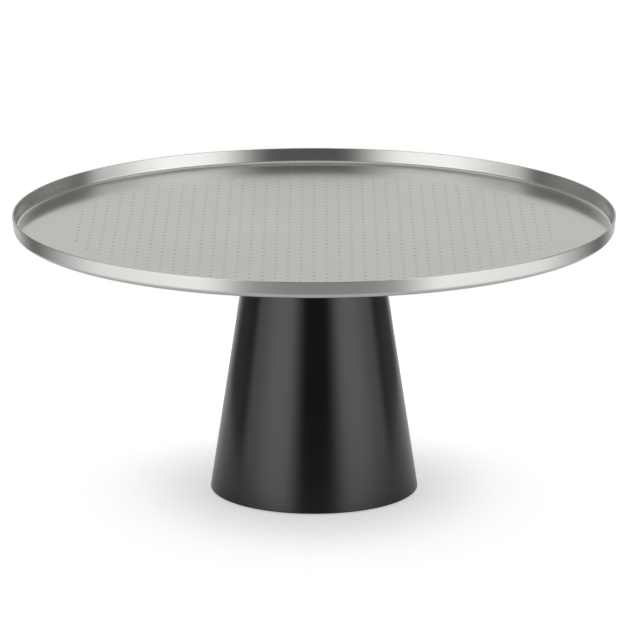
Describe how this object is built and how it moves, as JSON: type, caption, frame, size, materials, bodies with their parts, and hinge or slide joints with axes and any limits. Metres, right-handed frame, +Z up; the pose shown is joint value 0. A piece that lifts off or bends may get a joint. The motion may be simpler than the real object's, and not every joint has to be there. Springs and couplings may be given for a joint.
{
  "type": "cake turntable",
  "caption": "Cake stand with a shallow round brushed steel tray that turns on ball bearings over a tapered black pedestal.",
  "frame": {"origin": "middle of the footprint, on the surface the turntable stands on", "axes": "+Z up along the turning axis; X and Y are level, and a close-packed row of the tray's dimples runs along Y"},
  "size_m": [0.3, 0.2998, 0.1425],
  "materials": {
    "tray": "spun stainless steel, fine circular brushing, shallow dimples",
    "tray_weld_studs": "bright zinc",
    "hub_plate": "turned, satin",
    "hub_screws": "black-oxide steel",
    "stud_washers": "bright zinc",
    "stud_lock_nuts": "bright zinc with a nylon locking end",
    "spindle": "turned and ground",
    "wave_washer": "spring steel, oiled",
    "spindle_retaining_ring": "phosphated spring steel",
    "bearing_inner_ring": "ground bearing steel",
    "bearing_outer_ring": "ground bearing steel",
    "bearing_shields": "pressed sheet",
    "bearing_balls": "lapped",
    "bearing_cage": "natural glass-filled nylon",
    "bearing_housing": "turned, satin",
    "housing_dowels": "ground pins",
    "housing_end_cap": "turned, satin",
    "end_cap_screws": "black-oxide steel",
    "pedestal_shell": "satin black powder coat, fine texture",
    "ballast": "as cast, oiled, machined taper",
    "foot_ring": "black silicone",
    "base_cover": "satin black powder coat",
    "base_cover_screws": "black-oxide steel",
    "tie_bolt": "black-oxide steel",
    "tie_bolt_washer": "bright zinc"
  },
  "bodies": {
    "pedestal": {"foot_ring": "foot_ring", "base_cover": "base_cover", "base_cover_screws": "base_cover_screws", "ballast": "ballast", "tie_bolt": "tie_bolt", "tie_bolt_washer": "tie_bolt_washer", "pedestal_shell": "pedestal_shell", "bearing_housing": "bearing_housing", "housing_dowels": "housing_dowels", "housing_end_cap": "housing_end_cap", "end_cap_screws": "end_cap_screws", "upper_bearing_outer_ring": "bearing_outer_ring", "upper_bearing_shields": "bearing_shields", "lower_bearing_outer_ring": "bearing_outer_ring", "lower_bearing_shields": "bearing_shields"},
    "turntable": {"tray": "tray", "tray_weld_studs": "tray_weld_studs", "hub_plate": "hub_plate", "hub_screws": "hub_screws", "stud_washers": "stud_washers", "stud_lock_nuts": "stud_lock_nuts", "spindle": "spindle", "wave_washer": "wave_washer", "spindle_retaining_ring": "spindle_retaining_ring", "upper_bearing_inner_ring": "bearing_inner_ring", "lower_bearing_inner_ring": "bearing_inner_ring"},
    "upper_cage": {"upper_bearing_balls": "bearing_balls", "upper_bearing_cage": "bearing_cage"},
    "lower_cage": {"lower_bearing_balls": "bearing_balls", "lower_bearing_cage": "bearing_cage"}
  },
  "joints": [
    {"name": "turntable_spin", "type": "hinge", "parent": "pedestal", "child": "turntable", "pos_m": [0, 0, 0.1], "axis": [0, 0, 1], "continuous": true},
    {"name": "upper_cage_spin", "type": "hinge", "parent": "pedestal", "child": "upper_cage", "pos_m": [0, 0, 0.1225], "axis": [0, 0, 1], "continuous": true},
    {"name": "lower_cage_spin", "type": "hinge", "parent": "pedestal", "child": "lower_cage", "pos_m": [0, 0, 0.0845], "axis": [0, 0, 1], "continuous": true}
  ],
  "couplings": [
    {"joint": "upper_cage_spin", "follows": "turntable_spin", "ratio": 0.38095},
    {"joint": "lower_cage_spin", "follows": "turntable_spin", "ratio": 0.38095}
  ]
}
